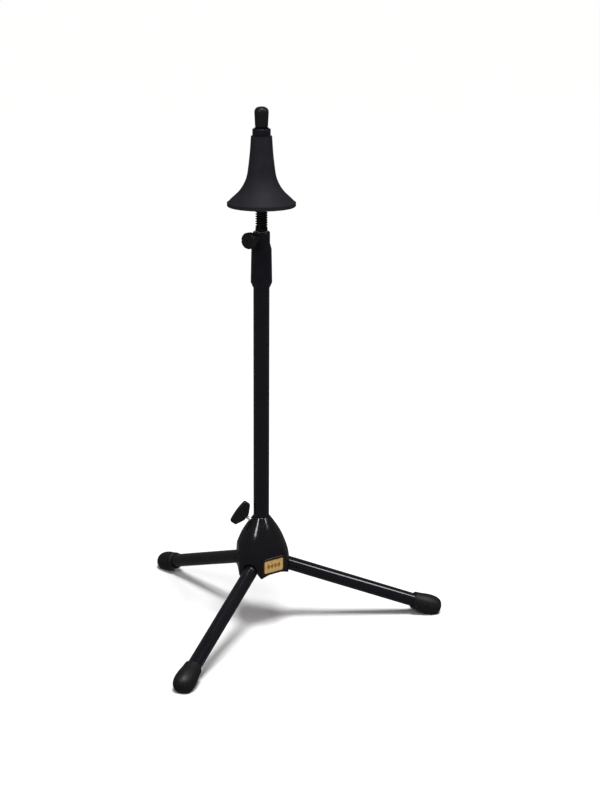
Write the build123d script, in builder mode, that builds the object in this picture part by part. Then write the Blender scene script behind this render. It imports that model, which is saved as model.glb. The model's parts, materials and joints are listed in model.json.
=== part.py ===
from build123d import *

import os
from math import cos, radians, sin

# Folding tripod stand that holds a trombone by its bell. Millimetres, +Z up.
# The origin is on the floor, straight under the mast. Leg 1 points along +X.

# ---- Driving dimensions ----
LEG_AZIMUTHS = {"right": 0, "rear": 120, "front": 240}
TUBE_WALL = 1.2
RUNNING = 0.05  # radial clearance of a shaft in its bore
GAP = 0.3  # gap between pieces that move past each other

# Legs
LEG_R = 11.1
LEG_SLOPE = 19.8  # degrees below level
PIN_RADIUS_FROM_MAST = 29.0
PIN_Z = 105.0
PIN_R = 2.5
PIN_HEAD_R = 4.0
PIN_HEAD_T = 1.5
KNUCKLE_R = 7.5
KNUCKLE_W = 25.0
HEEL_LENGTH = 16.0
HEEL_SLOPE = 35.0  # degrees below level, pointing at the mast
HEEL_NOSE_R = 4.5
HEEL_ARM_T = 5.0
HEEL_W = 12.0
LEG_TUBE_START = 12.5  # along the leg, from its pivot pin
FOOT_START = 239.1
FOOT_BORE_DEPTH = 37.0
FOOT_LENGTH = 50.0
FOOT_NECK_R = 14.2
FOOT_LIP = 1.2
FOOT_BULGE_R = 17.0
FOOT_BULGE_AT = 29.0
FOOT_NOSE_R = 14.0
FOOT_NOSE_AT = 44.0
ROLL_PIN_R = 1.5
ROLL_PIN_INSET = 0.3
ROLL_PIN_AT = 30.0
SPIGOT_LENGTH = 32.0
SPIGOT_START = 5.5

# Hub
HUB_TOP_Z = 183.0
HUB_TOP_R = 14.0
HUB_BOTTOM_Z = 87.5
HUB_WALL = 3.0
HUB_OUTLINE = [(21.6, 172.5), (31.4, 157.0), (39.0, 139.6), (43.9, 124.0), (45.8, 108.0)]
HUB_SKIRT_R = 46.3
HUB_TOP_ROUND = 0.8
HUB_FLAT_AT = 38.7  # flats between the legs, from the mast's axis
HUB_FLAT_W = 60.0
GUIDE_R = 17.0
GUIDE_BOTTOM_Z = 124.0
SPOOL_WELL_R = 22.0
SLOT_W = 26.0
SLOT_ARCH_Z = 101.0
SLOT_FLARE_Z = 98.0
SLOT_FLARE_W = 42.0
POCKET_TOP_Z = 113.5
POCKET_R = 38.0
SKIRT_ARCH_R = 74.0
SKIRT_ARCH_Z = 95.5
BADGE_AZIMUTH = 300.0
BADGE_OFFSET = -3.7  # along the flat, from its middle
BADGE_W = 40.0
BADGE_Z = 109.2
BADGE_H = 23.5
BADGE_T = 0.7
BADGE_CORNER_R = 4.0

# Mast
MAST_R = 12.7
MAST_BOTTOM_Z = 104.2
MAST_TOP_Z = 612.0
SPOOL_CORE_R = 8.0
SPOOL_FLANGE_R = 18.0
SPOOL_FLANGE_T = 3.0
SPOOL_GROOVE_H = 10.0
SPOOL_SOCKET_LENGTH = 24.0
SCREW_HEAD_R = 5.0
SCREW_HEAD_T = 3.0
HEX_SOCKET_R = 2.3
HEX_SOCKET_DEPTH = 1.8
SPOOL_SCREW_SHORT = 4.0  # the screw ends this far below the socket's top

# Height clamp sleeve on the mast's top end
SLEEVE_BOTTOM_Z = 562.0
SLEEVE_BOTTOM_R = 13.6
SLEEVE_SKIRT_Z = 569.5
SLEEVE_SKIRT_R = 16.9
SLEEVE_SHOULDER_Z = 622.0
SLEEVE_SHOULDER_R = 15.9
SLEEVE_NECK_Z = 631.5
SLEEVE_NECK_R = 13.4
SLEEVE_TOP_Z = 650.0
SLEEVE_TOP_ROUND = 2.5
BUSH_R = 11.0
HEIGHT_CLAMP_AZIMUTH = 226.0
HEIGHT_CLAMP_Z = 639.3
BOSS_R = 7.0
KNOB_STEM_R = 9.5
BOSS_FACE = 19.5
BOSS_ROOT = 11.7

# Clamp screws (M6) and knobs
SCREW_R = 3.0
NUT_R = 4.5
KNOB_R = 12.8
KNOB_FACE = 35.0
KNOB_T = 9.0
KNOB_FLUTES = 9
KNOB_FLUTE_R = 3.0
KNOB_FLUTE_DEPTH = 0.8
KNOB_EDGE_R = 1.2
KNOB_CLEARANCE = 0.8
DIMPLE_R = 2.2
DIMPLE_DEPTH = 1.5
SCREW_COVER = 3.5
HEIGHT_SCREW_TIP = 10.5
HUB_CLAMP_AZIMUTH = 180.0
HUB_CLAMP_SLOPE = 36.0
HUB_CLAMP_MOUTH = (18.4, 177.7)  # radius and height where the screw enters the dome
HUB_NUT_LENGTH = 3.4
HUB_NUT_SEAT = 2.3  # the seat's cut starts this far outside the dome
HUB_SCREW_TIP = 4.4
# Wing outline: distance along the screw from the dome, half its width there
WING_OUTLINE = [(7.1, 6.2), (14.7, 20.5), (25.2, 20.5), (27.2, 0)]
WING_T = 10.0
WING_CORNER_R = 2.6
WING_EDGE_R = 2.4
SCREW_CHAMFER = 0.4
HUB_SCREW_END = 22.0

# Rod that slides in the mast
ROD_R = 7.5
ROD_BOTTOM_Z = 372.0
ROD_TOP_Z = 834.0
ROD_GUIDE_H = 16.0

# Bell cone, its spring and the tip
CONE_RIM_R = 53.4
CONE_RIM_Z = 689.0
CONE_EDGE_Z = 696.0
CONE_EDGE_ROUND = 1.0
CONE_TOP_Z = 797.0
CONE_TOP_R = 16.3
CONE_WALL = 3.2
CONE_STEPS = 10
CONE_RIM_ROUND = 2.0
CONE_OUTLINE = [
    (45.1, 702.5),
    (35.2, 712.0),
    (28.0, 722.6),
    (23.4, 733.5),
    (20.6, 749.0),
    (18.3, 769.0),
]
CORE_R = 11.0
BASE_PLATE_T = 2.5
BASE_PLATE_R = 50.0
BASE_PLATE_INSET = 1.0
COLLAR_TOP_Z = 808.0
COLLAR_R = 14.1
COLLAR_EDGE_R = 1.0
SPRING_WIRE_R = 0.9
SPRING_R = 8.7
SPRING_SEAT_Z = 653.4
SPRING_TURNS = 8
STOP_WASHER_R = 11.0
STOP_WASHER_T = 1.6
CLIP_R = 9.3
CLIP_T = 1.0
CLIP_GROOVE_DEPTH = 0.5
TIP_BOTTOM_Z = 811.4
TIP_TOP_Z = 841.5
TIP_BOTTOM_R = 10.0
TIP_R = 11.05
TIP_SHOULDER_Z = 832.4

# ---- Worked-out values ----
SLOPE = radians(LEG_SLOPE)
NOSE_Z = PIN_Z - HEEL_LENGTH * sin(radians(HEEL_SLOPE))
GROOVE_TOP_Z = NOSE_Z + SPOOL_GROOVE_H / 2
GROOVE_BOTTOM_Z = NOSE_Z - SPOOL_GROOVE_H / 2
MAST_BORE_R = MAST_R - TUBE_WALL
PIN_HALF_LENGTH = SLOT_W / 2 + HUB_WALL
BETWEEN_LEGS = [azimuth + 60 for azimuth in LEG_AZIMUTHS.values()]
ROD_BORE_R = ROD_R - TUBE_WALL
CLIP_Z = COLLAR_TOP_Z + GAP + STOP_WASHER_T
SPRING_OUTER_R = SPRING_R + SPRING_WIRE_R

os.makedirs("parts", exist_ok=True)


def save(piece, name):
    """Label one finished piece and write it as its own STEP file."""
    piece.label = name
    export_step(piece, f"parts/{name}.step")


def radial_plane(azimuth):
    """Upright plane through the mast's axis: local X points outward, local Y up."""
    angle = radians(azimuth)
    outward = (cos(angle), sin(angle), 0)
    return Plane(origin=(0, 0, 0), x_dir=outward, z_dir=(sin(angle), -cos(angle), 0))


def outward_plane(azimuth, radius, height=0.0):
    """Upright plane facing away from the mast: local X is level, local Y up."""
    angle = radians(azimuth)
    outward = Vector(cos(angle), sin(angle), 0)
    level = (-sin(angle), cos(angle), 0)
    return Plane(origin=outward * radius + Vector(0, 0, height), x_dir=level, z_dir=outward)


def leg_plane(azimuth):
    """Upright plane with its origin on the pivot pin: local X runs out along the leg."""
    upright = radial_plane(azimuth)
    pin = upright.from_local_coords(Vector(PIN_RADIUS_FROM_MAST, PIN_Z, 0))
    along = upright.x_dir * cos(SLOPE) - Vector(0, 0, 1) * sin(SLOPE)
    return Plane(origin=pin, x_dir=along, z_dir=upright.z_dir)


def leg_section(azimuth, along):
    """Plane across the leg, at a distance along it from the pivot pin."""
    leg = leg_plane(azimuth)
    return Plane(origin=leg.from_local_coords(Vector(along, 0, 0)), x_dir=leg.z_dir, z_dir=leg.x_dir)


def screw_plane(azimuth, radius, height, slope):
    """Plane across a clamp screw, facing outward along the screw."""
    upright = radial_plane(azimuth)
    origin = upright.from_local_coords(Vector(radius, height, 0))
    outward = upright.x_dir * cos(radians(slope)) + Vector(0, 0, 1) * sin(radians(slope))
    return Plane(origin=origin, x_dir=upright.z_dir, z_dir=outward)


HEIGHT_SCREW = screw_plane(HEIGHT_CLAMP_AZIMUTH, 0, HEIGHT_CLAMP_Z, 0)
HUB_SCREW = screw_plane(HUB_CLAMP_AZIMUTH, HUB_CLAMP_MOUTH[0], HUB_CLAMP_MOUTH[1], HUB_CLAMP_SLOPE)
# Upright plane on the hub clamp's screw: local X runs out along it, local Y across the wing
HUB_CLAMP_UPRIGHT = Plane(origin=HUB_SCREW.origin, x_dir=HUB_SCREW.z_dir, z_dir=HUB_SCREW.x_dir)

# ---- Hub: the moulded dome that carries the legs and guides the mast ----
with BuildPart() as dome:
    with BuildSketch(Plane.XZ):
        with BuildLine():
            side = Spline((HUB_TOP_R, HUB_TOP_Z), *HUB_OUTLINE, (HUB_SKIRT_R, HUB_BOTTOM_Z))
            Polyline(side @ 1, (0, HUB_BOTTOM_Z), (0, HUB_TOP_Z), side @ 0)
        make_face()
    revolve(axis=Axis.Z)
    fillet(dome.edges().group_by(Axis.Z)[-1], HUB_TOP_ROUND)
    for azimuth in BETWEEN_LEGS:
        with BuildSketch(outward_plane(azimuth, HUB_FLAT_AT, HUB_BOTTOM_Z)):
            Rectangle(HUB_FLAT_W, HUB_TOP_Z, align=(Align.CENTER, Align.MIN))
        extrude(amount=HUB_SKIRT_R, mode=Mode.SUBTRACT)

with BuildPart() as slot_walls:
    for azimuth in LEG_AZIMUTHS.values():
        with BuildSketch(outward_plane(azimuth, SPOOL_WELL_R, POCKET_TOP_Z + HUB_WALL)):
            Rectangle(SLOT_W + 2 * HUB_WALL, 2 * SLOT_W, align=(Align.CENTER, Align.MAX))
        extrude(amount=HUB_SKIRT_R)
    add(dome.part, mode=Mode.INTERSECT)

# Hollow between the guide tube and the outer wall
with BuildPart() as hub_hollow:
    with BuildSketch(Plane.XZ):
        with BuildLine():
            inner_side = [(r - HUB_WALL, z) for r, z in HUB_OUTLINE[1:]]
            inner = Spline(*inner_side, (HUB_SKIRT_R - HUB_WALL, HUB_BOTTOM_Z))
            hollow_top_z = HUB_OUTLINE[0][1] - HUB_WALL
            Polyline(inner @ 1, (GUIDE_R, HUB_BOTTOM_Z), (GUIDE_R, hollow_top_z), inner @ 0)
        make_face()
    revolve(axis=Axis.Z)
    for azimuth in BETWEEN_LEGS:
        with BuildSketch(outward_plane(azimuth, HUB_FLAT_AT - HUB_WALL, HUB_BOTTOM_Z)):
            Rectangle(HUB_FLAT_W, HUB_TOP_Z, align=(Align.CENTER, Align.MIN))
        extrude(amount=HUB_SKIRT_R, mode=Mode.SUBTRACT)

with BuildPart() as hub_housing:
    add(dome.part)
    add(hub_hollow.part, mode=Mode.SUBTRACT)
    add(slot_walls.part)
    # Leg slots with arched tops, open and flared at the bottom
    for azimuth in LEG_AZIMUTHS.values():
        with BuildSketch(outward_plane(azimuth, 0, SLOT_ARCH_Z)):
            Circle(SLOT_W / 2)
            with Locations((0, -SLOT_W)):
                Rectangle(SLOT_W, 2 * SLOT_W)
            with BuildLine():
                Polyline(
                    (-SLOT_W / 2, SLOT_FLARE_Z - SLOT_ARCH_Z),
                    (SLOT_W / 2, SLOT_FLARE_Z - SLOT_ARCH_Z),
                    (SLOT_FLARE_W / 2, HUB_BOTTOM_Z - SLOT_ARCH_Z),
                    (-SLOT_FLARE_W / 2, HUB_BOTTOM_Z - SLOT_ARCH_Z),
                    close=True,
                )
            make_face()
        extrude(amount=2 * HUB_SKIRT_R, mode=Mode.SUBTRACT)
        # Square-topped pocket behind the arch, for the knuckle's barrel
        with BuildSketch(outward_plane(azimuth, 0, POCKET_TOP_Z)):
            Rectangle(SLOT_W, 2 * SLOT_W, align=(Align.CENTER, Align.MAX))
        extrude(amount=POCKET_R, mode=Mode.SUBTRACT)
    # The skirt's lower edge arches between the legs
    for azimuth in BETWEEN_LEGS:
        with BuildSketch(outward_plane(azimuth, 0, SKIRT_ARCH_Z - SKIRT_ARCH_R)):
            Circle(SKIRT_ARCH_R)
        extrude(amount=2 * HUB_SKIRT_R, mode=Mode.SUBTRACT)
    # Well for the spool, and the guide bore for the mast
    with BuildSketch(Plane.XY.offset(HUB_BOTTOM_Z)):
        Circle(SPOOL_WELL_R)
    extrude(amount=GUIDE_BOTTOM_Z - HUB_BOTTOM_Z, mode=Mode.SUBTRACT)
    with BuildSketch(Plane.XY.offset(HUB_BOTTOM_Z)):
        Circle(MAST_R + RUNNING)
    extrude(amount=HUB_TOP_Z - HUB_BOTTOM_Z, mode=Mode.SUBTRACT)
    # Pivot pin holes
    for azimuth in LEG_AZIMUTHS.values():
        with BuildSketch(leg_plane(azimuth)):
            Circle(PIN_R)
        extrude(amount=SLOT_W / 2 + HUB_WALL, both=True, mode=Mode.SUBTRACT)
    # Seat of the threaded insert, then the bore that guides the pressure slug
    with BuildSketch(HUB_SCREW.offset(HUB_NUT_SEAT)):
        Circle(NUT_R)
    extrude(amount=-(HUB_NUT_SEAT + HUB_NUT_LENGTH), mode=Mode.SUBTRACT)
    with BuildSketch(HUB_SCREW):
        Circle(SCREW_R + RUNNING)
    extrude(amount=-MAST_R, mode=Mode.SUBTRACT)
save(hub_housing.part, "hub_housing")

# Plain badge on the flat between the front and right legs
with BuildPart() as badge:
    with BuildSketch(outward_plane(BADGE_AZIMUTH, HUB_FLAT_AT, BADGE_Z)):
        with Locations((BADGE_OFFSET, 0)):
            RectangleRounded(BADGE_W, BADGE_H, BADGE_CORNER_R)
    extrude(amount=BADGE_T)
save(badge.part, "badge")

# Headed pins that the legs fold on, pressed into the slot walls
with BuildPart() as leg_pins:
    for azimuth in LEG_AZIMUTHS.values():
        pin_middle = leg_plane(azimuth)
        with BuildSketch(pin_middle):
            Circle(PIN_R)
        extrude(amount=PIN_HALF_LENGTH, both=True)
        near_head = pin_middle.offset(PIN_HALF_LENGTH)
        far_head = pin_middle.offset(-PIN_HALF_LENGTH - PIN_HEAD_T)
        with BuildSketch(near_head, far_head):
            Circle(PIN_HEAD_R)
        extrude(amount=PIN_HEAD_T)
save(leg_pins.part, "leg_pins")

# ---- Legs ----
for side_name, azimuth in LEG_AZIMUTHS.items():
    leg = leg_plane(azimuth)
    leg_axis = Axis(leg.origin, leg.x_dir)

    with BuildPart() as leg_tube:
        with BuildSketch(leg_section(azimuth, LEG_TUBE_START)):
            Circle(LEG_R)
            Circle(LEG_R - TUBE_WALL, mode=Mode.SUBTRACT)
        extrude(amount=FOOT_START + FOOT_BORE_DEPTH - LEG_TUBE_START)
        with BuildSketch(leg):
            with Locations((ROLL_PIN_AT, 0)):
                Circle(ROLL_PIN_R)
        extrude(amount=LEG_R, both=True, mode=Mode.SUBTRACT)
    save(leg_tube.part, f"leg_tube_{side_name}")

    # Knuckle: pivot barrel, spigot inside the tube, and the heel that the spool drives
    heel_angle = 180 + LEG_SLOPE + HEEL_SLOPE
    nose = (HEEL_LENGTH * cos(radians(heel_angle)), HEEL_LENGTH * sin(radians(heel_angle)))
    arm_middle = (nose[0] / 2, nose[1] / 2)
    with BuildPart() as knuckle:
        with BuildSketch(leg):
            Circle(KNUCKLE_R)
        extrude(amount=KNUCKLE_W / 2, both=True)
        with BuildSketch(leg_section(azimuth, SPIGOT_START)):
            Circle(LEG_R - TUBE_WALL)
        extrude(amount=LEG_TUBE_START + SPIGOT_LENGTH - SPIGOT_START)
        with BuildSketch(leg):
            with Locations(Location(arm_middle, heel_angle)):
                Rectangle(HEEL_LENGTH, HEEL_ARM_T)
            with Locations(nose):
                Circle(HEEL_NOSE_R)
        extrude(amount=HEEL_W / 2, both=True)
        with BuildSketch(leg):
            Circle(PIN_R + RUNNING)
            with Locations((ROLL_PIN_AT, 0)):
                Circle(ROLL_PIN_R)
        extrude(amount=KNUCKLE_W, both=True, mode=Mode.SUBTRACT)
    save(knuckle.part, f"leg_knuckle_{side_name}")

    # Roll pin through tube and spigot, its ends a little below the tube's surface
    with BuildPart() as roll_pin:
        with BuildSketch(leg):
            with Locations((ROLL_PIN_AT, 0)):
                Circle(ROLL_PIN_R)
        extrude(amount=LEG_R - ROLL_PIN_INSET, both=True)
    save(roll_pin.part, f"leg_roll_pin_{side_name}")

    # Rubber foot, swollen near its end and flat where it stands
    with BuildPart() as foot:
        with BuildSketch(leg):
            with BuildLine():
                foot_lip = (FOOT_START + FOOT_LIP, FOOT_NECK_R)
                Polyline((FOOT_START, 0), (FOOT_START, FOOT_NECK_R - FOOT_LIP), foot_lip)
                flank = Spline(
                    foot_lip,
                    (FOOT_START + FOOT_BULGE_AT, FOOT_BULGE_R),
                    (FOOT_START + FOOT_NOSE_AT, FOOT_NOSE_R),
                    (FOOT_START + FOOT_LENGTH, 0),
                    tangents=((1, 0.05), (0, -1)),
                )
                Line(flank @ 1, (FOOT_START, 0))
            make_face()
        revolve(axis=leg_axis)
        with BuildSketch(leg_section(azimuth, FOOT_START)):
            Circle(LEG_R)
        extrude(amount=FOOT_BORE_DEPTH, mode=Mode.SUBTRACT)
        split(bisect_by=Plane.XY)
    save(foot.part, f"foot_{side_name}")

# ---- Mast ----
with BuildPart() as main_tube:
    with BuildSketch(Plane.XY.offset(MAST_BOTTOM_Z)):
        Circle(MAST_R)
        Circle(MAST_BORE_R, mode=Mode.SUBTRACT)
    extrude(amount=MAST_TOP_Z - MAST_BOTTOM_Z)
save(main_tube.part, "main_tube")

# Spool under the mast: its groove carries the heels of the legs
with BuildPart() as spool:
    with BuildSketch(Plane.XY.offset(GROOVE_BOTTOM_Z)):
        Circle(SPOOL_CORE_R)
    extrude(amount=SPOOL_GROOVE_H)
    with BuildSketch(Plane.XY.offset(GROOVE_TOP_Z)):
        Circle(SPOOL_FLANGE_R)
    extrude(amount=MAST_BOTTOM_Z - GROOVE_TOP_Z)
    with BuildSketch(Plane.XY.offset(MAST_BOTTOM_Z)):
        Circle(MAST_BORE_R)
    extrude(amount=SPOOL_SOCKET_LENGTH)
    with BuildSketch(Plane.XY.offset(GROOVE_BOTTOM_Z)):
        Circle(SCREW_R)
    extrude(amount=SPOOL_GROOVE_H + SPOOL_SOCKET_LENGTH, mode=Mode.SUBTRACT)
save(spool.part, "spool")

with BuildPart() as spool_plate:
    with BuildSketch(Plane.XY.offset(GROOVE_BOTTOM_Z)):
        Circle(SPOOL_FLANGE_R)
        Circle(SCREW_R, mode=Mode.SUBTRACT)
    extrude(amount=-SPOOL_FLANGE_T)
save(spool_plate.part, "spool_plate")

with BuildPart() as spool_screw:
    with BuildSketch(Plane.XY.offset(GROOVE_BOTTOM_Z - SPOOL_FLANGE_T)):
        Circle(SCREW_R)
    extrude(amount=SPOOL_FLANGE_T + SPOOL_GROOVE_H + SPOOL_SOCKET_LENGTH - SPOOL_SCREW_SHORT)
    with BuildSketch(Plane.XY.offset(GROOVE_BOTTOM_Z - SPOOL_FLANGE_T)):
        Circle(SCREW_HEAD_R)
    extrude(amount=-SCREW_HEAD_T)
    with BuildSketch(Plane.XY.offset(GROOVE_BOTTOM_Z - SPOOL_FLANGE_T - SCREW_HEAD_T)):
        RegularPolygon(HEX_SOCKET_R, 6)
    extrude(amount=HEX_SOCKET_DEPTH, mode=Mode.SUBTRACT)
save(spool_screw.part, "spool_screw")

# Height clamp sleeve: skirt over the tube, shoulder, neck, and a boss for the screw
with BuildPart() as clamp_sleeve:
    with BuildSketch(Plane.XZ):
        with BuildLine():
            Polyline(
                (0, SLEEVE_BOTTOM_Z),
                (SLEEVE_BOTTOM_R, SLEEVE_BOTTOM_Z),
                (SLEEVE_SKIRT_R, SLEEVE_SKIRT_Z),
                (SLEEVE_SHOULDER_R, SLEEVE_SHOULDER_Z),
                (SLEEVE_NECK_R, SLEEVE_NECK_Z),
                (SLEEVE_NECK_R, SLEEVE_TOP_Z - SLEEVE_TOP_ROUND),
            )
            RadiusArc(
                (SLEEVE_NECK_R, SLEEVE_TOP_Z - SLEEVE_TOP_ROUND),
                (SLEEVE_NECK_R - SLEEVE_TOP_ROUND, SLEEVE_TOP_Z),
                -SLEEVE_TOP_ROUND,
            )
            Polyline(
                (SLEEVE_NECK_R - SLEEVE_TOP_ROUND, SLEEVE_TOP_Z),
                (0, SLEEVE_TOP_Z),
                (0, SLEEVE_BOTTOM_Z),
            )
        make_face()
    revolve(axis=Axis.Z)
    with BuildSketch(HEIGHT_SCREW.offset(BOSS_ROOT)):
        Circle(BOSS_R)
    extrude(amount=BOSS_FACE - BOSS_ROOT)
    with BuildSketch(Plane.XY.offset(SLEEVE_BOTTOM_Z)):
        Circle(MAST_R)
    extrude(amount=MAST_TOP_Z - SLEEVE_BOTTOM_Z, mode=Mode.SUBTRACT)
    with BuildSketch(Plane.XY.offset(MAST_TOP_Z)):
        Circle(BUSH_R)
    extrude(amount=SLEEVE_TOP_Z - MAST_TOP_Z, mode=Mode.SUBTRACT)
    with BuildSketch(HEIGHT_SCREW):
        Circle(NUT_R)
    extrude(amount=BOSS_FACE, mode=Mode.SUBTRACT)
save(clamp_sleeve.part, "clamp_sleeve")

# Bush that guides the rod, pierced for the pressure slug
with BuildPart() as rod_bush:
    with BuildSketch(Plane.XY.offset(MAST_TOP_Z)):
        Circle(BUSH_R)
        Circle(ROD_R + RUNNING, mode=Mode.SUBTRACT)
    extrude(amount=SLEEVE_TOP_Z - MAST_TOP_Z)
    with BuildSketch(HEIGHT_SCREW):
        Circle(SCREW_R + RUNNING)
    extrude(amount=BOSS_ROOT, mode=Mode.SUBTRACT)
save(rod_bush.part, "rod_bush")

# ---- Clamp parts, the same for the height clamp and the hub clamp ----
with BuildPart() as height_clamp_nut:
    with BuildSketch(HEIGHT_SCREW.offset(BOSS_ROOT)):
        Circle(NUT_R)
        Circle(SCREW_R + RUNNING, mode=Mode.SUBTRACT)
    extrude(amount=BOSS_FACE - BOSS_ROOT)
save(height_clamp_nut.part, "height_clamp_nut")

with BuildPart() as hub_clamp_nut:
    with BuildSketch(HUB_SCREW.offset(-HUB_NUT_LENGTH)):
        Circle(NUT_R)
        Circle(SCREW_R + RUNNING, mode=Mode.SUBTRACT)
    extrude(amount=HUB_NUT_LENGTH - GAP)
save(hub_clamp_nut.part, "hub_clamp_nut")

# Pressure slugs: hollow-ended, so they bear on the rod and on the mast without marking them
with BuildPart() as height_clamp_slug:
    with BuildSketch(HEIGHT_SCREW):
        Circle(SCREW_R)
    extrude(amount=HEIGHT_SCREW_TIP)
    with BuildSketch(Plane.XY.offset(HEIGHT_CLAMP_Z - BOSS_R)):
        Circle(ROD_R + RUNNING)
    extrude(amount=2 * BOSS_R, mode=Mode.SUBTRACT)
save(height_clamp_slug.part, "height_clamp_slug")

with BuildPart() as hub_clamp_slug:
    with BuildSketch(HUB_SCREW.offset(-HUB_SCREW_TIP)):
        Circle(SCREW_R)
    extrude(amount=-MAST_R)
    with BuildSketch(Plane.XY.offset(GUIDE_BOTTOM_Z)):
        Circle(MAST_R + RUNNING)
    extrude(amount=HUB_TOP_Z - GUIDE_BOTTOM_Z, mode=Mode.SUBTRACT)
save(hub_clamp_slug.part, "hub_clamp_slug")

with BuildPart() as height_clamp_screw:
    with BuildSketch(HEIGHT_SCREW.offset(HEIGHT_SCREW_TIP)):
        Circle(SCREW_R)
    extrude(amount=KNOB_FACE - SCREW_COVER - HEIGHT_SCREW_TIP)
    chamfer(height_clamp_screw.edges().filter_by(GeomType.CIRCLE), SCREW_CHAMFER)
save(height_clamp_screw.part, "height_clamp_screw")

with BuildPart() as hub_clamp_screw:
    with BuildSketch(HUB_SCREW.offset(-HUB_SCREW_TIP)):
        Circle(SCREW_R)
    extrude(amount=HUB_SCREW_TIP + HUB_SCREW_END)
    chamfer(hub_clamp_screw.edges().filter_by(GeomType.CIRCLE), SCREW_CHAMFER)
save(hub_clamp_screw.part, "hub_clamp_screw")

# Round knob of the height clamp: fluted rim, tapered stem, dimple in its face
with BuildPart() as height_knob:
    with BuildSketch(HEIGHT_SCREW.offset(KNOB_FACE - KNOB_T)):
        Circle(KNOB_R)
        with PolarLocations(KNOB_R + KNOB_FLUTE_R - KNOB_FLUTE_DEPTH, KNOB_FLUTES):
            Circle(KNOB_FLUTE_R, mode=Mode.SUBTRACT)
    extrude(amount=KNOB_T)
    fillet(height_knob.edges().filter_by(HEIGHT_SCREW), KNOB_EDGE_R)
    with BuildSketch(HEIGHT_SCREW.offset(BOSS_FACE + KNOB_CLEARANCE)):
        Circle(BOSS_R)
    with BuildSketch(HEIGHT_SCREW.offset(KNOB_FACE - KNOB_T + KNOB_EDGE_R)):
        Circle(KNOB_STEM_R)
    loft()
    with BuildSketch(HEIGHT_SCREW):
        Circle(SCREW_R)
    extrude(amount=KNOB_FACE - SCREW_COVER, mode=Mode.SUBTRACT)
    with BuildSketch(HEIGHT_SCREW.offset(KNOB_FACE)):
        Circle(DIMPLE_R)
    extrude(amount=-DIMPLE_DEPTH, mode=Mode.SUBTRACT)
save(height_knob.part, "height_knob")

# Wing knob of the hub clamp: two arms that taper from the boss, with a bowed outer face
with BuildPart() as wing_knob:
    with BuildSketch(HUB_CLAMP_UPRIGHT):
        with BuildLine():
            boss_end, arm_inner, arm_outer, bow = WING_OUTLINE
            ThreePointArc(arm_outer, bow, (arm_outer[0], -arm_outer[1]))
            Polyline(
                (arm_outer[0], -arm_outer[1]),
                (arm_inner[0], -arm_inner[1]),
                (boss_end[0], -boss_end[1]),
                boss_end,
                arm_inner,
                arm_outer,
            )
        make_face()
        fillet(vertices(), WING_CORNER_R)
    extrude(amount=WING_T / 2, both=True)
    arm_faces = wing_knob.faces().filter_by(HUB_CLAMP_UPRIGHT)
    fillet(arm_faces.edges(), WING_EDGE_R)
    with BuildSketch(HUB_SCREW):
        Circle(SCREW_R)
    extrude(amount=HUB_SCREW_END, mode=Mode.SUBTRACT)
save(wing_knob.part, "wing_knob")

# ---- Rod ----
with BuildPart() as rod:
    with BuildSketch(Plane.XY.offset(ROD_BOTTOM_Z)):
        Circle(ROD_R)
        Circle(ROD_BORE_R, mode=Mode.SUBTRACT)
    extrude(amount=ROD_TOP_Z - ROD_BOTTOM_Z)
    with BuildSketch(Plane.XY.offset(CLIP_Z)):
        Circle(ROD_R)
        Circle(ROD_R - CLIP_GROOVE_DEPTH, mode=Mode.SUBTRACT)
    extrude(amount=CLIP_T, mode=Mode.SUBTRACT)
save(rod.part, "rod")

# Rings on the rod: foot guide inside the mast, spring seat, stop washer and spring clip
RINGS = {
    "rod_guide": (ROD_BOTTOM_Z, ROD_GUIDE_H, ROD_R, MAST_BORE_R - RUNNING),
    "spring_seat": (SLEEVE_TOP_Z + GAP, SPRING_SEAT_Z - SLEEVE_TOP_Z - GAP, ROD_R, SPRING_OUTER_R),
    "stop_washer": (COLLAR_TOP_Z + GAP, STOP_WASHER_T, ROD_R, STOP_WASHER_R),
    "stop_clip": (CLIP_Z, CLIP_T, ROD_R - CLIP_GROOVE_DEPTH, CLIP_R),
}
for ring_name, (bottom, height, bore_r, outer_r) in RINGS.items():
    with BuildPart() as ring:
        with BuildSketch(Plane.XY.offset(bottom)):
            Circle(outer_r)
            Circle(bore_r, mode=Mode.SUBTRACT)
        extrude(amount=height)
    save(ring.part, ring_name)

# Rubber tip over the rod's top end, domed
with BuildPart() as tip:
    with BuildSketch(Plane.XZ):
        with BuildLine():
            Polyline((0, ROD_TOP_Z), (ROD_R, ROD_TOP_Z), (ROD_R, TIP_BOTTOM_Z), (TIP_BOTTOM_R, TIP_BOTTOM_Z))
            Line((TIP_BOTTOM_R, TIP_BOTTOM_Z), (TIP_R, TIP_SHOULDER_Z))
            crown = Spline((TIP_R, TIP_SHOULDER_Z), (0, TIP_TOP_Z), tangents=((0, 1), (-1, 0)))
            Line(crown @ 1, (0, ROD_TOP_Z))
        make_face()
    revolve(axis=Axis.Z)
save(tip.part, "tip")

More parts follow.
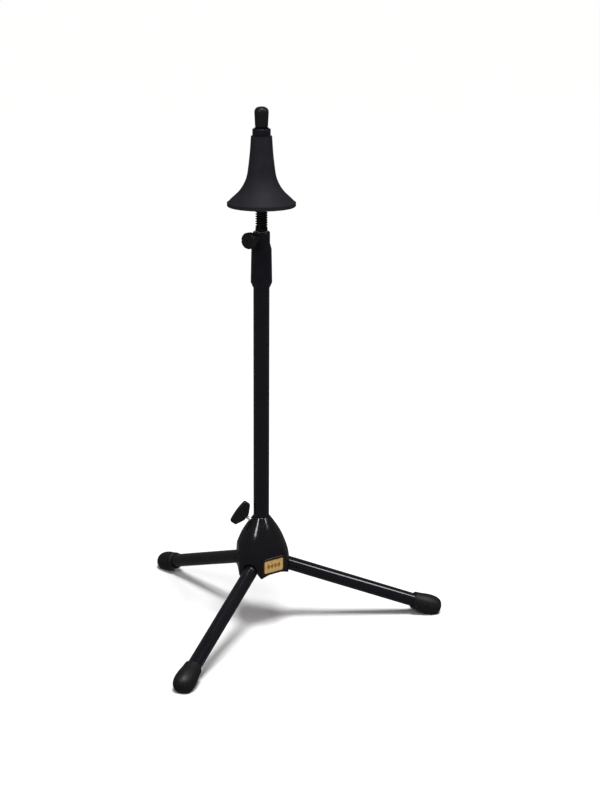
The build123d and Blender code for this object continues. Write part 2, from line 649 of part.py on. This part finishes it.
# ---- Bell cone: flared shell on a sliding core, closed by a base plate and a collar ----
with BuildPart() as cone_shell:
    with BuildSketch(Plane.XZ):
        with BuildLine():
            flare_points = [(CONE_TOP_R, CONE_TOP_Z), *CONE_OUTLINE[::-1]]
            flare = Spline(*flare_points, (CONE_RIM_R - CONE_RIM_ROUND, CONE_EDGE_Z))
            inner_points = []
            for step in range(CONE_STEPS + 1):
                heading = flare % (step / CONE_STEPS)
                inner_points.append(flare @ (step / CONE_STEPS) + Vector(heading.Y, -heading.X) * CONE_WALL)
            inside = Spline(*inner_points)
            Polyline(
                flare @ 1,
                (CONE_RIM_R, CONE_EDGE_Z - CONE_EDGE_ROUND),
                (CONE_RIM_R, CONE_RIM_Z + CONE_EDGE_ROUND),
                (CONE_RIM_R - CONE_EDGE_ROUND, CONE_RIM_Z),
                (BASE_PLATE_R, CONE_RIM_Z),
                (BASE_PLATE_R, (inside @ 1).Y),
                inside @ 1,
            )
            Line(inside @ 0, flare @ 0)
        make_face()
    revolve(axis=Axis.Z)
save(cone_shell.part, "cone_shell")

with BuildPart() as cone_core:
    with BuildSketch(Plane.XY.offset(CONE_RIM_Z)):
        Circle(CORE_R)
        Circle(ROD_R + RUNNING, mode=Mode.SUBTRACT)
    extrude(amount=CONE_TOP_Z - CONE_RIM_Z)
save(cone_core.part, "cone_core")

with BuildPart() as cone_base:
    with BuildSketch(Plane.XY.offset(CONE_RIM_Z + BASE_PLATE_INSET)):
        Circle(BASE_PLATE_R)
        Circle(CORE_R, mode=Mode.SUBTRACT)
    extrude(amount=BASE_PLATE_T)
save(cone_base.part, "cone_base")

with BuildPart() as cone_collar:
    with BuildSketch(Plane.XY.offset(CONE_TOP_Z)):
        Circle(COLLAR_R)
    extrude(amount=COLLAR_TOP_Z - CONE_TOP_Z)
    fillet(cone_collar.edges().group_by(Axis.Z)[-1], COLLAR_EDGE_R)
    with BuildSketch(Plane.XY.offset(CONE_TOP_Z)):
        Circle(ROD_R + RUNNING)
    extrude(amount=COLLAR_TOP_Z - CONE_TOP_Z, mode=Mode.SUBTRACT)
save(cone_collar.part, "cone_collar")

# Spring that holds the cone up against the stop washer
spring_height = CONE_RIM_Z - SPRING_SEAT_Z - 2 * SPRING_WIRE_R - GAP
with BuildPart() as cone_spring:
    with BuildLine():
        coil = Helix(
            pitch=spring_height / SPRING_TURNS,
            height=spring_height,
            radius=SPRING_R,
            center=(0, 0, SPRING_SEAT_Z + SPRING_WIRE_R + GAP / 2),
        )
    with BuildSketch(coil ^ 0):
        Circle(SPRING_WIRE_R)
    sweep(is_frenet=True)
save(cone_spring.part, "cone_spring")
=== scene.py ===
import json
import math

import bpy
from mathutils import Euler, Matrix, Vector


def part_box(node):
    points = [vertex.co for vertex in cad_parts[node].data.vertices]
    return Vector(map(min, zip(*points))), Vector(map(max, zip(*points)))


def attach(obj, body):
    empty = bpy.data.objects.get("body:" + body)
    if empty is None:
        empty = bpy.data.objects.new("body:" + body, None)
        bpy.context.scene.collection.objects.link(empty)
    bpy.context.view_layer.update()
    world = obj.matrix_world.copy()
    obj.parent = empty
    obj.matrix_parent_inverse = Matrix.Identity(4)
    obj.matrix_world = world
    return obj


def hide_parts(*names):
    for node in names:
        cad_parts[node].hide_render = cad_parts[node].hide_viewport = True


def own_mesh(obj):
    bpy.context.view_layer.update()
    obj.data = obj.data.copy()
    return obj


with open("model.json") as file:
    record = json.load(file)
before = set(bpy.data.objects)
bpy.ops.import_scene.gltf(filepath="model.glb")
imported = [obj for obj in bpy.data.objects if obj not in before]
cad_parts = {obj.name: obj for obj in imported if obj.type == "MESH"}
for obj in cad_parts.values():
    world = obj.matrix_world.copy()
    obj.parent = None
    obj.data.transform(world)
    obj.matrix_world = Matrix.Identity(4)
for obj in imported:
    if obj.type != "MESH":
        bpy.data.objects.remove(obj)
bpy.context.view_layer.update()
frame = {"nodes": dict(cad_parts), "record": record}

# Looks of a folding trombone stand: camera, soft studio light, and a procedural material for every piece.
# Everything is in metres, in the CAD frame: +Z up, the mast on the Z axis, the floor at z = 0.

MM = 0.001
nodes = frame["nodes"]

# ---- Camera: the view of a person standing about 2.5 m away, in metres and radians ----
CAMERA_DISTANCE = 2.5012
CAMERA_HEIGHT = 1.0922
CAMERA_PITCH = 0.2659
CAMERA_YAW = 0.0131
CAMERA_ROLL = 0.0041
VIEW_TURN = math.radians(6.17)
SENSOR_MM = 36.0
LENS_MM = 73.46
SHIFT_X = 0.0225
SHIFT_Y = -0.025

# ---- Light ----
WORLD_STRENGTH = 0.11
WORLD_TINT = (1.0, 0.92, 0.9, 1.0)
# The key is one soft light high overhead. A heading points to the light: right, away from the camera, up.
KEY_STRENGTH = 3.25
KEY_SOFTNESS = math.radians(21)
KEY_HEADING = (0.085, -0.235, 0.968)
# Two softboxes give the gloss its long highlights: heading, distance, width, height, watts
SOFTBOXES = (
    ("softbox_right", (0.64, -0.2, 0.74), 3.0, 1.3, 0.3, 17),
    ("softbox_left", (-0.48, -0.56, 0.67), 2.5, 0.25, 0.8, 12),
)
SOFTBOX_AIM = Vector((0, 0, 0.13))
FLOOR_SIZE = 120.0


def add_camera():
    data = bpy.data.cameras.new("camera")
    data.sensor_width = SENSOR_MM
    data.lens = LENS_MM
    data.shift_x = SHIFT_X
    data.shift_y = SHIFT_Y
    data.clip_end = 200.0
    camera = bpy.data.objects.new("camera", data)
    camera.location = (
        -CAMERA_DISTANCE * math.sin(VIEW_TURN),
        -CAMERA_DISTANCE * math.cos(VIEW_TURN),
        CAMERA_HEIGHT,
    )
    aim = Euler((math.pi / 2 - CAMERA_PITCH, 0, -CAMERA_YAW - VIEW_TURN)).to_matrix()
    camera.rotation_euler = (aim @ Matrix.Rotation(CAMERA_ROLL, 3, "Z")).to_euler()
    bpy.context.scene.collection.objects.link(camera)
    bpy.context.scene.camera = camera


def add_light(name, kind, heading, distance, energy):
    """A light that shines on SOFTBOX_AIM from a heading given as the camera sees it."""
    data = bpy.data.lights.new(name, kind)
    data.energy = energy
    light = bpy.data.objects.new(name, data)
    towards_light = Matrix.Rotation(-VIEW_TURN, 3, "Z") @ Vector(heading).normalized()
    light.location = SOFTBOX_AIM + towards_light * distance
    light.rotation_euler = towards_light.to_track_quat("Z", "Y").to_euler()
    bpy.context.scene.collection.objects.link(light)
    return data


def add_lights():
    add_light("key", "SUN", KEY_HEADING, 1.0, KEY_STRENGTH).angle = KEY_SOFTNESS
    for name, heading, distance, width, height, watts in SOFTBOXES:
        box = add_light(name, "AREA", heading, distance, watts)
        box.shape = "RECTANGLE"
        box.size = width
        box.size_y = height


def add_world():
    world = bpy.data.worlds.new("studio")
    world.use_nodes = True
    background = world.node_tree.nodes["Background"]
    background.inputs["Color"].default_value = WORLD_TINT
    background.inputs["Strength"].default_value = WORLD_STRENGTH
    bpy.context.scene.world = world


RUBBED_GREY = (0.07, 0.07, 0.072)


class Surface:
    """One procedural material, built round a Principled shader on object coordinates in metres."""

    def __init__(self, name, base, roughness, specular=0.5, metallic=0.0):
        self.material = bpy.data.materials.new(name)
        self.material.use_nodes = True
        self.tree = self.material.node_tree
        self.shader = self.tree.nodes["Principled BSDF"]
        self.set("Base Color", (*base, 1.0))
        self.set("Roughness", roughness)
        self.set("Specular IOR Level", specular)
        self.set("Metallic", metallic)
        self.coords = self.tree.nodes.new("ShaderNodeTexCoord").outputs["Object"]
        self.normal = None

    def set(self, socket, value):
        self.shader.inputs[socket].default_value = value

    def link(self, source, target):
        self.tree.links.new(source, target)

    def add(self, kind, **inputs):
        node = self.tree.nodes.new(kind)
        for socket, value in inputs.items():
            target = node.inputs[socket.replace("_", " ")]
            if isinstance(value, bpy.types.NodeSocket):
                self.link(value, target)
            else:
                target.default_value = value
        return node

    def stretched(self, scale):
        mapping = self.add("ShaderNodeMapping", Vector=self.coords, Scale=scale)
        return mapping.outputs["Vector"]

    def noise(self, size, detail=2.0, stretch=None):
        """Noise whose blobs are about size metres across."""
        where = self.stretched(stretch) if stretch else self.coords
        node = self.add("ShaderNodeTexNoise", Vector=where, Scale=1.0 / size, Detail=detail)
        return node.outputs["Fac"]

    def levels(self, fac, low, high, to_low=0.0, to_high=1.0):
        node = self.add("ShaderNodeMapRange", Value=fac)
        node.inputs["From Min"].default_value = low
        node.inputs["From Max"].default_value = high
        node.inputs["To Min"].default_value = to_low
        node.inputs["To Max"].default_value = to_high
        return node.outputs["Result"]

    def math(self, operation, a, b):
        node = self.tree.nodes.new("ShaderNodeMath")
        node.operation = operation
        for slot, value in ((0, a), (1, b)):
            if isinstance(value, bpy.types.NodeSocket):
                self.link(value, node.inputs[slot])
            else:
                node.inputs[slot].default_value = value
        return node.outputs[0]

    def blend(self, fac, a, b):
        """Colour a where fac is 0 and b where it is 1. Both are sockets or RGB."""
        node = self.tree.nodes.new("ShaderNodeMix")
        node.data_type = "RGBA"
        self.link(fac, node.inputs[0])
        for slot, value in ((6, a), (7, b)):
            if isinstance(value, bpy.types.NodeSocket):
                self.link(value, node.inputs[slot])
            else:
                node.inputs[slot].default_value = (*value, 1.0)
        return node.outputs[2]

    def edges(self, radius):
        """1 along convex and concave edges, 0 on open faces."""
        bevel = self.add("ShaderNodeBevel", Radius=radius)
        bevel.samples = 4
        plain = self.add("ShaderNodeNewGeometry").outputs["Normal"]
        dot = self.tree.nodes.new("ShaderNodeVectorMath")
        dot.operation = "DOT_PRODUCT"
        self.link(bevel.outputs["Normal"], dot.inputs[0])
        self.link(plain, dot.inputs[1])
        return self.levels(dot.outputs["Value"], 1.0, 0.86)

    def upward(self):
        """1 where the surface faces up, 0 where it faces sideways or down."""
        normal = self.tree.nodes.new("ShaderNodeTexCoord").outputs["Normal"]
        parts = self.add("ShaderNodeSeparateXYZ", Vector=normal)
        return self.levels(parts.outputs["Z"], 0.1, 1.0)

    def color(self, socket):
        self.link(socket, self.shader.inputs["Base Color"])

    def roughness(self, socket):
        self.link(socket, self.shader.inputs["Roughness"])

    def bump(self, height, depth, strength=1.0):
        node = self.add("ShaderNodeBump", Height=height, Strength=strength, Distance=depth)
        if self.normal:
            self.link(self.normal, node.inputs["Normal"])
        self.normal = node.outputs["Normal"]
        self.link(self.normal, self.shader.inputs["Normal"])


def powder_coat(name, base, gloss):
    """Glossy black coat on steel tube: orange peel, hazy patches, long fine scratches, a little dust."""
    s = Surface(name, base, gloss, specular=0.45)
    patches = s.noise(30 * MM, 3)
    scratches = s.levels(s.noise(0.6 * MM, 2, stretch=(1, 1, 0.03)), 0.66, 0.72)
    dust = s.math("MULTIPLY", s.upward(), s.levels(s.noise(0.9 * MM, 4), 0.55, 0.8))
    tone = s.blend(patches, base, tuple(c * 1.5 for c in base))
    s.color(s.blend(s.math("MULTIPLY", dust, 0.08), tone, (0.12, 0.115, 0.105)))
    rough = s.levels(patches, 0.3, 0.7, gloss - 0.02, gloss + 0.03)
    rough = s.math("ADD", rough, s.math("MULTIPLY", scratches, 0.1))
    s.roughness(s.math("ADD", rough, s.math("MULTIPLY", dust, 0.1)))
    s.bump(s.noise(1.6 * MM, 2), 0.008 * MM)
    s.bump(s.noise(0.3 * MM, 1), 0.002 * MM)
    return s.material


def moulded(name, base, gloss, grain, grain_depth, specular=0.18, wear=0.5):
    """Moulded plastic: fine spark-eroded grain, paler rubbed edges, slow colour drift."""
    s = Surface(name, base, gloss, specular=specular)
    drift = s.noise(12 * MM, 3)
    rubbed = s.math("MULTIPLY", s.edges(0.6 * MM), s.levels(s.noise(2 * MM, 4), 0.35, 0.7))
    dust = s.math("MULTIPLY", s.upward(), s.levels(s.noise(0.7 * MM, 5), 0.5, 0.8))
    tone = s.blend(drift, tuple(c * 0.8 for c in base), tuple(c * 1.3 for c in base))
    tone = s.blend(s.math("MULTIPLY", rubbed, wear), tone, RUBBED_GREY)
    s.color(s.blend(s.math("MULTIPLY", dust, 0.08), tone, (0.15, 0.145, 0.135)))
    rough = s.levels(drift, 0.3, 0.7, gloss - 0.04, gloss + 0.05)
    s.roughness(s.math("ADD", rough, s.math("MULTIPLY", dust, 0.1)))
    s.bump(s.noise(grain, 3), grain_depth)
    return s.material


def metal(name, base, gloss, brushed=(1, 1, 6), metallic=1.0):
    """Bare or plated metal with fine turning or brushing marks and dull spots."""
    s = Surface(name, base, gloss, metallic=metallic)
    marks = s.noise(0.5 * MM, 3, stretch=brushed)
    stains = s.noise(4 * MM, 4)
    s.color(s.blend(s.levels(stains, 0.35, 0.8), base, tuple(c * 0.7 for c in base)))
    rough = s.levels(marks, 0.3, 0.7, gloss, gloss + 0.14)
    s.roughness(s.math("ADD", rough, s.levels(stains, 0.55, 0.8, 0.0, 0.12)))
    s.bump(marks, 0.008 * MM)
    return s.material


def enamel(name, base):
    """Glossy enamel with a slightly uneven fired surface."""
    s = Surface(name, base, 0.18, specular=0.4)
    pools = s.noise(3 * MM, 3)
    s.color(s.blend(pools, tuple(c * 0.7 for c in base), tuple(c * 1.3 for c in base)))
    s.roughness(s.levels(pools, 0.3, 0.7, 0.14, 0.26))
    s.bump(pools, 0.06 * MM)
    return s.material


def rubber(name, base, gloss, scuffed):
    """Rubber with a fine skin; scuffed says how much pale rubbing shows."""
    s = Surface(name, base, gloss, specular=0.22)
    skin = s.noise(0.8 * MM, 4)
    blotches = s.noise(12 * MM, 3)
    scuffs = s.levels(s.noise(3 * MM, 6), 0.56, 0.74)
    tone = s.blend(blotches, tuple(c * 0.85 for c in base), tuple(c * 1.2 for c in base))
    tone = s.blend(s.math("MULTIPLY", scuffs, scuffed), tone, (0.1, 0.097, 0.093))
    s.color(tone)
    s.roughness(s.levels(skin, 0.3, 0.7, gloss - 0.05, gloss + 0.06))
    s.bump(skin, 0.012 * MM)
    return s.material


def paint(material, *names):
    for name in names:
        slots = nodes[name].data.materials
        slots.clear()
        slots.append(material)


LEGS = ("right", "rear", "front")


def for_each_leg(name):
    return [f"{name}_{leg}" for leg in LEGS]


GOLD = metal("badge_gold", (0.8, 0.56, 0.2), 0.3, brushed=(1, 1, 8), metallic=0.45)
# Pale, part-diffuse base on the screws: the metal's own pale tone plus a painted reflection that stands in
# for the bright gloss of chrome
CHROME_WITH_PAINTED_REFLECTION = metal("screw_chrome", (0.85, 0.85, 0.87), 0.2, metallic=0.4)
SPRING_STEEL = metal("spring_steel", (0.022, 0.022, 0.024), 0.34)
BORDER_RED = enamel("badge_border_red", (0.024, 0.007, 0.005))
MARK_BROWN = enamel("badge_mark_brown", (0.24, 0.1, 0.025))

HUB_GLOSS = moulded("hub_gloss", (0.004, 0.004, 0.0052), 0.12, 4 * MM, 0.01 * MM, specular=0.5, wear=0.1)
MOULDED_BLACK = moulded("moulded_black", (0.0045, 0.005, 0.0085), 0.3, 0.5 * MM, 0.02 * MM, specular=0.3)
NYLON_PALE = moulded("nylon_pale", (0.6, 0.58, 0.5), 0.5, 0.6 * MM, 0.03 * MM)
KNOB_BLACK = moulded("knob_black", (0.0055, 0.0055, 0.0065), 0.28, 0.6 * MM, 0.03 * MM, specular=0.4)
CONE_GREY = moulded("cone_grey", (0.012, 0.012, 0.0155), 0.6, 0.6 * MM, 0.03 * MM, specular=0.1, wear=0.1)
STEEL_PLAIN = metal("steel_plain", (0.5, 0.5, 0.5), 0.3)
STEEL_BLACKED = metal("steel_blacked", (0.018, 0.018, 0.019), 0.36)
BRASS_INSERT = metal("brass_insert", (0.35, 0.26, 0.11), 0.3)
TUBE_BLACK = powder_coat("tube_black", (0.0035, 0.0038, 0.0055), 0.1)
ROD_BLACK = powder_coat("rod_black", (0.007, 0.007, 0.0075), 0.24)
TIP_RUBBER = rubber("tip_rubber", (0.007, 0.007, 0.008), 0.38, 0.05)
FOOT_RUBBER = rubber("foot_rubber", (0.0065, 0.0065, 0.0068), 0.45, 0.12)

paint(HUB_GLOSS, "hub_housing")
paint(GOLD, "badge")
paint(STEEL_PLAIN, "leg_pins", "spool_screw")
paint(STEEL_BLACKED, "stop_washer", "stop_clip", *for_each_leg("leg_roll_pin"))
paint(TUBE_BLACK, "main_tube", *for_each_leg("leg_tube"))
paint(ROD_BLACK, "rod")
paint(MOULDED_BLACK, "clamp_sleeve", "spool", "spool_plate", "rod_guide", "spring_seat")
paint(MOULDED_BLACK, "cone_core", "cone_base", "cone_collar", *for_each_leg("leg_knuckle"))
paint(NYLON_PALE, "rod_bush", "height_clamp_slug", "hub_clamp_slug")
paint(BRASS_INSERT, "height_clamp_nut", "hub_clamp_nut")
paint(KNOB_BLACK, "height_knob", "wing_knob")
paint(CONE_GREY, "cone_shell")
paint(TIP_RUBBER, "tip")
paint(FOOT_RUBBER, *for_each_leg("foot"))

# ---- Pieces that the CAD leaves plain: threads, the spring, and the badge's border and marks ----
THREAD_PITCH = 1.0 * MM
THREAD_DEPTH = 0.55 * MM
THREAD_STEPS = 24
# Across one pitch of the thread: how far along it, and how much of the thread's depth
THREAD_SHAPE = ((0.0, 0.0), (0.35, 1.0), (0.55, 1.0), (0.9, 0.0), (1.0, 0.0))
WIRE_R = 0.9 * MM
WIRE_SIDES = 12
COIL_STEPS = 40
COIL_TURNS = 10
CLOSED_TURNS = 1
BADGE_HEADING = math.radians(300)
BORDER_W = 2.4 * MM
BORDER_LAP = 1.6 * MM
BORDER_T = 0.5 * MM
BORDER_BEVEL = 0.35 * MM
BADGE_CORNER = 4.0 * MM
CORNER_STEPS = 6
MARKS = 4
MARK_W = 7.0 * MM
MARK_H = 10.0 * MM
MARK_SPACING = 6.8 * MM
MARK_T = 0.4 * MM

JOINTS = {joint["name"]: joint for joint in frame["record"]["behaviour"]["joints"]}


def reach(node, direction, origin=Vector()):
    """How far a CAD node reaches along a direction, from its near end to its far end."""
    distances = [(vertex.co - origin).dot(direction) for vertex in nodes[node].data.vertices]
    return min(distances), max(distances)


def strips(rows, closed=False):
    """Quads between neighbouring rows of points that are all the same length."""
    width = len(rows[0])
    points = [point for row in rows for point in row]
    faces = []
    for i in range(len(rows) - 1):
        for j in range(width if closed else width - 1):
            k = (j + 1) % width
            faces.append((i * width + j, i * width + k, (i + 1) * width + k, (i + 1) * width + j))
    return points, faces


def add_piece(name, points, faces, material, body, smooth=True):
    mesh = bpy.data.meshes.new(name)
    mesh.from_pydata([tuple(point) for point in points], [], faces)
    mesh.polygons.foreach_set("use_smooth", [smooth] * len(faces))
    mesh.materials.append(material)
    piece = bpy.data.objects.new(name, mesh)
    bpy.context.scene.collection.objects.link(piece)
    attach(piece, body)
    return piece


def add_thread(node, joint_name, body):
    """A screw with a real thread, run out at both ends, in the place of a plain CAD screw."""
    joint = JOINTS[joint_name]
    origin = Vector(joint["pos_m"])
    axis = Vector(joint["axis"]).normalized()
    start, end = reach(node, axis, origin)
    radius = max(((vertex.co - origin).cross(axis)).length for vertex in nodes[node].data.vertices)
    core = radius - THREAD_DEPTH
    steps = int((end - start - THREAD_PITCH) / THREAD_PITCH * THREAD_STEPS)
    rows = []
    for step in range(steps + 1):
        angle = math.tau * step / THREAD_STEPS
        run_out = min(1.0, step / THREAD_STEPS, (steps - step) / THREAD_STEPS)
        base = start + THREAD_PITCH * step / THREAD_STEPS
        row = []
        for along, height in THREAD_SHAPE:
            r = core + THREAD_DEPTH * height * run_out
            row.append(Vector((r * math.cos(angle), r * math.sin(angle), base + along * THREAD_PITCH)))
        rows.append(row)
    points, faces = strips(rows)
    # The core under the thread, with its chamfered ends
    bevel = THREAD_DEPTH / 2
    lower_end = ((0, start), (core - bevel, start), (core, start + bevel))
    upper_end = ((core, end - bevel), (core - bevel, end), (0, end))
    angles = [math.tau * step / THREAD_STEPS for step in range(THREAD_STEPS)]
    rings = [
        [Vector((r * math.cos(a), r * math.sin(a), z)) for a in angles]
        for r, z in lower_end + upper_end
    ]
    core_points, core_faces = strips(rings, closed=True)
    first = len(points)
    faces += [tuple(first + i for i in face) for face in core_faces]
    turned = axis.to_track_quat("Z", "Y").to_matrix()
    placed = [turned @ point + origin for point in points + core_points]
    # The thread takes the pale screw metal, whose diffuse brightness is a painted reflection of chrome
    piece = add_piece(f"{node}_thread", placed, faces, CHROME_WITH_PAINTED_REFLECTION, body)
    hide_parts(node)


def add_spring():
    """The cone's spring, with closed ends, carried by the rod."""
    low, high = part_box("cone_spring")
    radius = (high[0] - low[0]) / 2 - WIRE_R
    rise = high[2] - low[2] - 2 * WIRE_R
    closed_pitch = 2 * WIRE_R
    open_pitch = (rise - 2 * CLOSED_TURNS * closed_pitch) / (COIL_TURNS - 2 * CLOSED_TURNS)
    rows = []
    for step in range(COIL_TURNS * COIL_STEPS + 1):
        turn = step / COIL_STEPS
        opened = min(max(turn - CLOSED_TURNS, 0), COIL_TURNS - 2 * CLOSED_TURNS)
        height = low[2] + WIRE_R + opened * open_pitch + (turn - opened) * closed_pitch
        angle = math.tau * turn
        outward = Vector((math.cos(angle), math.sin(angle), 0))
        centre = outward * radius + Vector((0, 0, height))
        row = []
        for side in range(WIRE_SIDES):
            lean = math.tau * side / WIRE_SIDES
            row.append(centre + outward * (WIRE_R * math.cos(lean)) + Vector((0, 0, WIRE_R * math.sin(lean))))
        rows.append(row)
    points, faces = strips(rows, closed=True)
    last = len(points) - WIRE_SIDES
    faces.append(tuple(reversed(range(WIRE_SIDES))))
    faces.append(tuple(last + side for side in range(WIRE_SIDES)))
    piece = add_piece("cone_spring_coils", points, faces, SPRING_STEEL, "rod")
    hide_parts("cone_spring")
    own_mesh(piece)


def rounded_loop(width, height, corner):
    """Points round a rectangle with round corners, centred on (0, 0)."""
    loop = []
    for quarter, (sx, sy) in enumerate(((1, 1), (-1, 1), (-1, -1), (1, -1))):
        for step in range(CORNER_STEPS + 1):
            angle = math.pi / 2 * (quarter + step / CORNER_STEPS)
            x = sx * (width / 2 - corner) + corner * math.cos(angle)
            y = sy * (height / 2 - corner) + corner * math.sin(angle)
            loop.append((x, y))
    return loop


def add_badge_trim():
    """Enamelled border and a row of plain lozenges on the badge."""
    outward = Vector((math.cos(BADGE_HEADING), math.sin(BADGE_HEADING), 0))
    level = Vector((-outward.y, outward.x, 0))
    up = Vector((0, 0, 1))
    left, right = reach("badge", level)
    bottom, top = reach("badge", up)
    back, face = reach("badge", outward)
    width, height = right - left, top - bottom
    middle = level * ((left + right) / 2) + up * ((bottom + top) / 2)

    def placed(x, y, depth):
        return middle + level * x + up * y + outward * depth

    rim = face + BORDER_T
    loops = (
        (BORDER_W, back),
        (BORDER_W, rim - BORDER_BEVEL),
        (BORDER_W - BORDER_BEVEL, rim),
        (BORDER_BEVEL - BORDER_LAP, rim),
        (-BORDER_LAP, rim - BORDER_BEVEL),
        (-BORDER_LAP, face),
    )
    rows = []
    for extra, depth in loops:
        outline = rounded_loop(width + 2 * extra, height + 2 * extra, BADGE_CORNER + extra)
        rows.append([placed(x, y, depth) for x, y in outline])
    points, faces = strips(rows, closed=True)
    add_piece("badge_border", points, faces, BORDER_RED, "hub", smooth=False)
    points, faces = [], []
    for mark in range(MARKS):
        centre = (mark - (MARKS - 1) / 2) * MARK_SPACING
        corners = ((MARK_W / 2, 0), (0, MARK_H / 2), (-MARK_W / 2, 0), (0, -MARK_H / 2))
        first = len(points)
        points += [placed(centre + x, y, face) for x, y in corners]
        points.append(placed(centre, 0, face + MARK_T))
        faces += [(first + i, first + (i + 1) % 4, first + 4) for i in range(4)]
    add_piece("badge_marks", points, faces, MARK_BROWN, "hub", smooth=False)


add_thread("hub_clamp_screw", "wing_knob_turn", "wing_knob")
add_thread("height_clamp_screw", "height_knob_turn", "height_knob")
add_spring()
add_badge_trim()


def add_floor():
    mesh = bpy.data.meshes.new("floor")
    half = FLOOR_SIZE / 2
    corners = [(-half, -half, 0), (half, -half, 0), (half, half, 0), (-half, half, 0)]
    mesh.from_pydata(corners, [], [(0, 1, 2, 3)])
    floor = bpy.data.objects.new("floor", mesh)
    bpy.context.scene.collection.objects.link(floor)
    s = Surface("floor_pale", (0.9, 0.9, 0.9), 0.9, specular=0.0)
    s.color(s.blend(s.noise(0.4, 3), (0.9, 0.9, 0.9), (0.91, 0.908, 0.905)))
    mesh.materials.append(s.material)
    # The object's gloss mirrors a dim room, not the white sweep it stands on
    floor.visible_glossy = False


add_camera()
add_world()
add_lights()
add_floor()
bpy.context.scene.view_settings.view_transform = "Standard"
